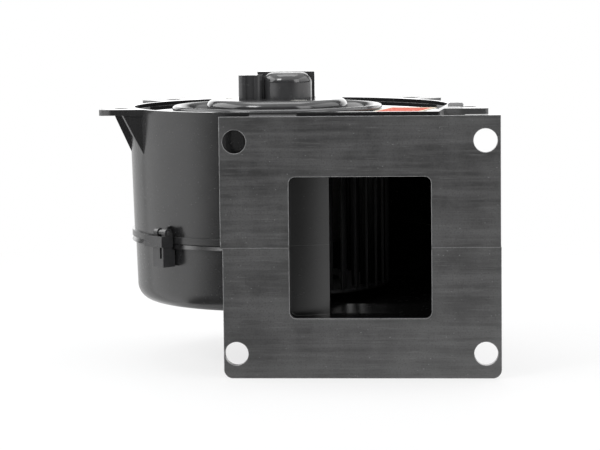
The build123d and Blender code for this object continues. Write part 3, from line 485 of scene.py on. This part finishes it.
class Recipe(Tree):
    """A Geometry Nodes tree with named inputs, started from a mesh of a piece's round parts."""

    def __init__(self, name):
        group = bpy.data.node_groups.new(name, "GeometryNodeTree")
        super().__init__(group)
        self.name = name
        group.interface.new_socket("Body", in_out="INPUT", socket_type="NodeSocketGeometry")
        group.interface.new_socket("Piece", in_out="OUTPUT", socket_type="NodeSocketGeometry")
        self.entry = self.node("NodeGroupInput").socket.node
        self.values = {}

    def body(self):
        return Wire(self, self.entry.outputs["Body"])

    def asked(self, name, value, kind="NodeSocketFloat"):
        """A named input of the tree and its value."""
        socket = self.tree.interface.new_socket(name, in_out="INPUT", socket_type=kind)
        self.values[socket.identifier] = value
        return Wire(self, self.entry.outputs[name])

    def vector(self, across=0.0, depth=0.0, up=0.0):
        return self.node("ShaderNodeCombineXYZ", {}, {0: across, 1: depth, 2: up})

    def moved(self, shape, shift, turn=(0, 0, 0)):
        return self.node("GeometryNodeTransform", {}, {
            "Geometry": shape, "Translation": shift, "Rotation": turn})

    def around(self, shape, count, start=0.0):
        """Copies of a shape in a ring about the origin."""
        spots = self.node("GeometryNodePoints", {}, {"Count": count})
        index = self.node("GeometryNodeInputIndex")
        angle = index / count * (2 * math.pi) + start
        return self.node("GeometryNodeInstanceOnPoints", {}, {
            "Points": spots, "Instance": shape, "Rotation": self.vector(up=angle)})

    def joined(self, first, *others):
        made = self.node("GeometryNodeJoinGeometry", {}, {0: first})
        for shape in others:
            self.tree.links.new(shape.socket, made.socket.node.inputs[0])
        return made

    def piece(self, shape, mesh, finish):
        """Ends the tree, grows the piece from the given mesh, and gives a plain object."""
        coat = self.asked("Finish", finish, "NodeSocketMaterial")
        real = self.node("GeometryNodeRealizeInstances", {}, {0: shape})
        dressed = self.node("GeometryNodeSetMaterial", {}, {"Geometry": real, "Material": coat})
        self.node("NodeGroupOutput", {}, {"Piece": dressed})
        seed = bpy.data.objects.new(self.name + "_seed", mesh)
        bpy.context.scene.collection.objects.link(seed)
        modifier = seed.modifiers.new("recipe", "NODES")
        modifier.node_group = self.tree
        for identifier, value in self.values.items():
            modifier[identifier] = value
        seen = seed.evaluated_get(bpy.context.evaluated_depsgraph_get())
        grown = bpy.data.meshes.new_from_object(seen)
        seed.modifiers.remove(modifier)
        bpy.data.objects.remove(seed)
        sewn = bmesh.new()
        sewn.from_mesh(grown)
        bmesh.ops.remove_doubles(sewn, verts=sewn.verts, dist=WELD_DISTANCE)
        bmesh.ops.recalc_face_normals(sewn, faces=sewn.faces)
        for face in sewn.faces:
            face.material_index = 0
        sewn.to_mesh(grown)
        sewn.free()
        grown.materials.clear()
        grown.materials.append(finish)
        grown.shade_smooth()
        grown.set_sharp_from_angle(angle=SHARP_ANGLE)
        piece = bpy.data.objects.new(self.name, grown)
        bpy.context.scene.collection.objects.link(piece)
        return piece


def turned(profiles, steps):
    """A mesh turned about the upright line through the origin: closed outlines of (radius,
    height), each spun once round. A radius of nought gives a single point."""
    shape = bmesh.new()
    for outline in profiles:
        rings = []
        for radius, height in outline:
            if radius == 0:
                rings.append([shape.verts.new((0, 0, height))])
            else:
                rings.append([shape.verts.new((radius * math.cos(2 * math.pi * i / steps),
                                               radius * math.sin(2 * math.pi * i / steps),
                                               height)) for i in range(steps)])
        for low, high in zip(rings, rings[1:] + rings[:1]):
            for i in range(steps):
                j = (i + 1) % steps
                corners = [low[i % len(low)], low[j % len(low)], high[j % len(high)],
                           high[i % len(high)]]
                kept = list(dict.fromkeys(corners))
                if len(kept) > 2:
                    shape.faces.new(kept)
    bmesh.ops.recalc_face_normals(shape, faces=shape.faces)
    mesh = bpy.data.meshes.new("turned")
    shape.to_mesh(mesh)
    shape.free()
    return mesh


def blower_wheel():
    """The wheel: a pressed-in plate with a hub, forty curved blades that lean forward, six ribs
    and a rolled ring at the inlet end."""
    low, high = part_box("blower_wheel")
    floor, top = low[2], high[2]
    outer, inner, lead = 0.044, 0.0375, math.radians(-7.0)
    hub, bore, hub_top = 0.009, 0.005, floor + 0.012
    plate, soft, fillet = 0.0015, 0.0004, 0.0008
    disc = [(bore, floor), (outer - soft, floor), (outer, floor + soft),
            (outer, floor + plate - soft), (outer - soft, floor + plate),
            (hub + fillet, floor + plate), (hub, floor + plate + fillet),
            (hub, hub_top - soft), (hub - soft, hub_top), (bore, hub_top)]
    ring_outer, ring_low = high[0] - AXIS.x, top - 0.002
    ring = [(inner, ring_low), (outer + 0.0006, ring_low), (ring_outer, ring_low + soft),
            (ring_outer, top - soft), (ring_outer - soft, top), (inner + soft, top),
            (inner, top - soft)]
    recipe = Recipe("wheel_moulding")
    blades = recipe.asked("Blades", 40, "NodeSocketInt")
    ribs = recipe.asked("Ribs", 6, "NodeSocketInt")
    wall = recipe.asked("Blade thickness", 0.0009)
    blade_foot, blade_head = floor + 0.0007, top - 0.001
    tall = recipe.asked("Blade height", blade_head - blade_foot)
    bow = (0.00075, 0.0015)
    tip = (outer * math.cos(lead), outer * math.sin(lead), 0.0)
    middle = ((inner + tip[0]) / 2 + bow[0], tip[1] / 2 + bow[1], 0.0)
    bend = recipe.node("GeometryNodeCurveArc", {"mode": "POINTS"}, {
        "Resolution": 9, "Start": (inner + soft, 0.0, 0.0), "Middle": middle, "End": tip})
    bend = recipe.node("GeometryNodeSetCurveNormal", {"mode": "Z_UP"}, {"Curve": bend})
    section = recipe.node("GeometryNodeCurvePrimitiveQuadrilateral", {"mode": "RECTANGLE"}, {
        "Width": wall, "Height": tall})
    section = recipe.node("GeometryNodeFilletCurve", {"mode": "POLY"}, {
        "Curve": section, "Radius": 0.00025, "Count": 2})
    blade = recipe.node("GeometryNodeCurveToMesh", {}, {
        "Curve": bend, "Profile Curve": section, "Fill Caps": True})
    blade = recipe.moved(blade, recipe.vector(up=tall * 0.5 + blade_foot))
    length, width, height, fall = 0.0192, 0.0012, 0.0075, 14.0
    rib = recipe.node("GeometryNodeMeshCube", {}, {
        "Size": (length, width, height), "Vertices X": 9})
    along, _, up = recipe.axes(recipe.node("GeometryNodeInputPosition"))
    from_hub = along + length / 2
    rib = recipe.node("GeometryNodeSetPosition", {}, {
        "Geometry": rib, "Offset": recipe.vector(up=(up > 0.0) * from_hub * from_hub * -fall)})
    rib_middle = 0.0145
    rib = recipe.moved(rib, (rib_middle, 0.0, floor + height / 2))
    whole = recipe.joined(recipe.body(), recipe.around(blade, blades), recipe.around(rib, ribs))
    whole = recipe.moved(whole, (AXIS.x, AXIS.y, 0.0))
    wheel = recipe.piece(whole, turned([disc, ring], 160), FINISHES["wheel_black"])
    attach(wheel, "rotor")
    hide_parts("blower_wheel")


def motor_screws():
    """Three countersunk screws with a cross recess and a rolled thread."""
    low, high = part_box("motor_screws")
    top, bottom = high[2], low[2] - high[2]
    head, shank = 0.0036, 0.00185
    core, crest, tip = shank * 0.8, shank * 0.84, shank * 0.4
    outline = [(0.0, 0.0), (head - 0.0004, 0.0), (head, -0.00025), (shank, -0.0018),
               (core, -0.0022), (core, bottom + 0.0008), (tip, bottom), (0.0, bottom)]
    recipe = Recipe("screw_set")
    count = recipe.asked("Screws", 3, "NodeSocketInt")
    first = math.radians(60.0)
    circle = recipe.asked("Circle", 0.020)
    deep = recipe.asked("Recess depth", 0.0015)
    pitch = recipe.asked("Pitch", 0.0007)
    long, narrow = 0.0042, 0.0009
    cut = recipe.body()
    for length, width in ((long, narrow), (narrow, long)):
        bar = recipe.node("GeometryNodeMeshCube", {}, {
            "Size": recipe.vector(length, width, deep * 2)})
        cut = recipe.node("GeometryNodeMeshBoolean", {"operation": "DIFFERENCE"}, {
            0: cut, 1: bar})
    windings, under_head = 5.0, 0.0024
    turns = recipe.node("GeometryNodeCurveSpiral", {}, {
        "Resolution": 24, "Rotations": windings, "Start Radius": crest, "End Radius": crest,
        "Height": pitch * windings})
    ridge = recipe.node("GeometryNodeCurvePrimitiveCircle", {"mode": "RADIUS"}, {
        "Resolution": 3, "Radius": 0.00028})
    thread = recipe.node("GeometryNodeCurveToMesh", {}, {
        "Curve": turns, "Profile Curve": ridge, "Fill Caps": True})
    thread = recipe.moved(thread, recipe.vector(up=pitch * -windings - under_head))
    screw = recipe.moved(recipe.joined(cut, thread), recipe.vector(across=circle))
    ring = recipe.around(screw, count, first)
    whole = recipe.moved(ring, (AXIS.x, AXIS.y, top))
    screws = recipe.piece(whole, turned([outline], 40), FINISHES["screw_steel"])
    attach(screws, "housing")
    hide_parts("motor_screws")


def brush_spring(side, toward):
    """The coil spring behind one brush, which in the motor shortens as the brush is pushed
    back; here it is wound at one length.
    """
    name = "brush_spring_" + side
    low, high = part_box(name)
    wire = 0.0003
    long = high[0] - low[0] - 2 * wire
    inner, outer = (low[0], high[0]) if toward > 0 else (high[0], low[0])
    recipe = Recipe("coil_" + side)
    turns = recipe.asked("Turns", 4.0)
    coil = recipe.asked("Coil radius", (high[1] - low[1]) / 2 - wire)
    thick = recipe.asked("Wire radius", wire)
    line = recipe.node("GeometryNodeCurveSpiral", {}, {
        "Resolution": 28, "Rotations": turns, "Start Radius": coil, "End Radius": coil,
        "Height": long})
    section = recipe.node("GeometryNodeCurvePrimitiveCircle", {"mode": "RADIUS"}, {
        "Resolution": 10, "Radius": thick})
    wound = recipe.node("GeometryNodeCurveToMesh", {}, {
        "Curve": line, "Profile Curve": section, "Fill Caps": True})
    middle = ((low[1] + high[1]) / 2, (low[2] + high[2]) / 2)
    whole = recipe.moved(wound, (inner + toward * wire, *middle), (0, toward * math.pi / 2, 0))
    spring = recipe.piece(whole, bpy.data.meshes.new(name + "_seed"), FINISHES["spring_steel"])
    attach(spring, "housing")
    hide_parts(name)
    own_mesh(spring)


blower_wheel()
motor_screws()
brush_spring("left", -1)
brush_spring("right", 1)


# Floor, light and camera

def room_light(finish, across, depth):
    """How bright the studio is in each direction, as a mirror sees it: dim in front, white at
    both sides and straight behind, a little dimmer between, with a dark gap at the back left."""
    gap = 2.19
    turn = across.maths("ARCTAN2", 0 - across, 0 - depth)
    side = abs(turn)
    light = finish.step(side, 0.45, 1.20, 0.15, 1.0) * finish.step(side, 2.15, 2.30, 1.0, 0.75)
    light = light + finish.step(side, 2.60, 2.95) * 0.25
    return light * finish.step(abs(turn - gap), 0.022, 0.042, 0.35, 1.0)


def seen_straight(finish):
    """One for what the camera sees, also through a clear piece."""
    return finish.node("ShaderNodeLightPath", output="Is Camera Ray") | \
        finish.node("ShaderNodeLightPath", output="Is Transmission Ray")


def seen_mirrored(finish):
    return finish.node("ShaderNodeLightPath", output="Is Glossy Ray")


def pale_floor():
    """A white sweep: it keeps the soft shadow near the object and fades to plain white. The
    glossy walls mirror the room's light in it, but not its paint, away from the object's foot."""
    skin = Finish("pale_floor")
    shadow_middle, mirror_middle = (-0.02, 0.06, 0.0), (-0.0876, 0.0268, 0.0)
    across, depth = skin.axes(skin.place(shadow_middle))[:2]
    reach = (across * across + depth * depth) ** 0.5
    bare = skin.step(reach, 0.12, 0.40, 0.72, 1.0)
    seen = seen_straight(skin)
    mirrored = seen_mirrored(skin) * skin.step(reach, 0.066, 0.075)
    aside, beyond = skin.axes(skin.place(mirror_middle))[:2]
    room = skin.blend(room_light(skin, aside, beyond), grey(0.0), grey(1.0))
    mottle = skin.noise(skin.place(), 30.0, 3.0)
    paint = skin.node("ShaderNodeBsdfPrincipled", {}, {
        "Base Color": skin.blend(mottle, grey(0.86), grey(0.89)), "Roughness": 0.6})
    glow = skin.node("ShaderNodeEmission", {}, {"Color": grey(1.0), "Strength": 1.0})
    shine = skin.node("ShaderNodeEmission", {}, {"Color": room, "Strength": 1.0})
    mixed = skin.node("ShaderNodeMixShader", {}, {0: bare * seen, 1: paint, 2: glow})
    mixed = skin.node("ShaderNodeMixShader", {}, {0: mirrored, 1: mixed, 2: shine})
    skin.node("ShaderNodeOutputMaterial", {}, {"Surface": mixed})
    return skin.material


def stage_floor():
    mesh = bpy.data.meshes.new("floor")
    reach = 3.0
    corners = [(-reach, -reach, FLOOR), (reach, -reach, FLOOR), (reach, reach, FLOOR),
               (-reach, reach, FLOOR)]
    mesh.from_pydata(corners, [], [(0, 1, 2, 3)])
    floor = bpy.data.objects.new("floor", mesh)
    bpy.context.scene.collection.objects.link(floor)
    mesh.materials.append(pale_floor())


def studio_world():
    """White for the camera. Mirrors see the room's light low down and straight behind, white
    overhead, and nothing between. What lights the object besides the lamps is soft and even."""
    bpy.context.scene.world = bpy.data.worlds.new("studio")
    sky = Finish("studio", bpy.context.scene.world)
    across, depth, up = sky.axes(sky.node("ShaderNodeTexCoord", output="Generated"))
    walls = sky.step(up, 0.05, 0.02) | sky.step(depth, 0.80, 0.90)
    ceiling = sky.step(up, 0.35, 0.8)
    bright = room_light(sky, across, depth) * walls | ceiling
    white, dark, soft = (
        sky.node("ShaderNodeBackground", {}, {"Color": colour, "Strength": power})
        for colour, power in ((grey(1.0), 1.0), (grey(0.0), 0.0), ((0.97, 0.98, 1, 1), 0.45)))
    room = sky.node("ShaderNodeMixShader", {}, {0: bright, 1: dark, 2: white})
    around = sky.node("ShaderNodeMixShader", {}, {0: seen_mirrored(sky), 1: soft, 2: room})
    whole = sky.node("ShaderNodeMixShader", {}, {0: seen_straight(sky), 1: around, 2: white})
    sky.node("ShaderNodeOutputWorld", {}, {"Surface": whole})


def softbox(name, place, aim, size, power):
    """A rectangular lamp that faces a point."""
    lamp = bpy.data.lights.new(name, "AREA")
    lamp.shape = "RECTANGLE"
    lamp.size, lamp.size_y = size
    lamp.energy = power
    holder = bpy.data.objects.new(name, lamp)
    holder.location = place
    holder.rotation_euler = (Vector(aim) - Vector(place)).to_track_quat("-Z", "Y").to_euler()
    bpy.context.scene.collection.objects.link(holder)


def photo_camera():
    """The photograph's angle: a long lens a little above the flange and to its right, with a
    slight roll."""
    pitch, yaw, roll = (math.radians(a) for a in (5.86, 4.06, 0.64))
    distance = 0.90935
    target = Vector((-0.02272, 0.0, 0.00881))
    back = Vector((math.sin(yaw) * math.cos(pitch), -math.cos(yaw) * math.cos(pitch),
                   math.sin(pitch)))
    level = Vector((math.cos(yaw), math.sin(yaw), 0.0))
    upright = back.cross(level)
    right = math.cos(roll) * level - math.sin(roll) * upright
    top = math.sin(roll) * level + math.cos(roll) * upright
    camera = bpy.data.objects.new("photo_camera", bpy.data.cameras.new("photo_camera"))
    camera.data.sensor_width = 36.0
    camera.data.lens = 144.0
    camera.data.clip_start = 0.01
    facing = Matrix((right, top, back)).transposed().to_4x4()
    camera.matrix_world = Matrix.Translation(target + back * distance) @ facing
    bpy.context.scene.collection.objects.link(camera)
    bpy.context.scene.camera = camera


stage_floor()
studio_world()
softbox("key", (-0.75, -0.75, 0.95), (-0.03, 0.05, 0.0), (0.42, 0.42), 5.0)
softbox("fill", (0.9, -0.7, 0.55), (-0.02, 0.04, 0.0), (0.5, 0.7), 3.0)
softbox("top", (-0.05, 0.25, 1.1), (-0.03, 0.06, 0.0), (0.9, 0.6), 4.0)
softbox("left", (-1.15, 0.25, 0.62), (-0.05, 0.10, 0.0), (1.5, 0.8), 9.0)
softbox("right", (1.1, 0.25, 0.62), (0.0, 0.10, 0.0), (1.5, 0.8), 5.0)
softbox("back", (0.0, 1.7, 0.28), (-0.03, 0.05, 0.02), (3.0, 0.9), 9.0)
photo_camera()
bpy.context.scene.view_settings.view_transform = "Standard"
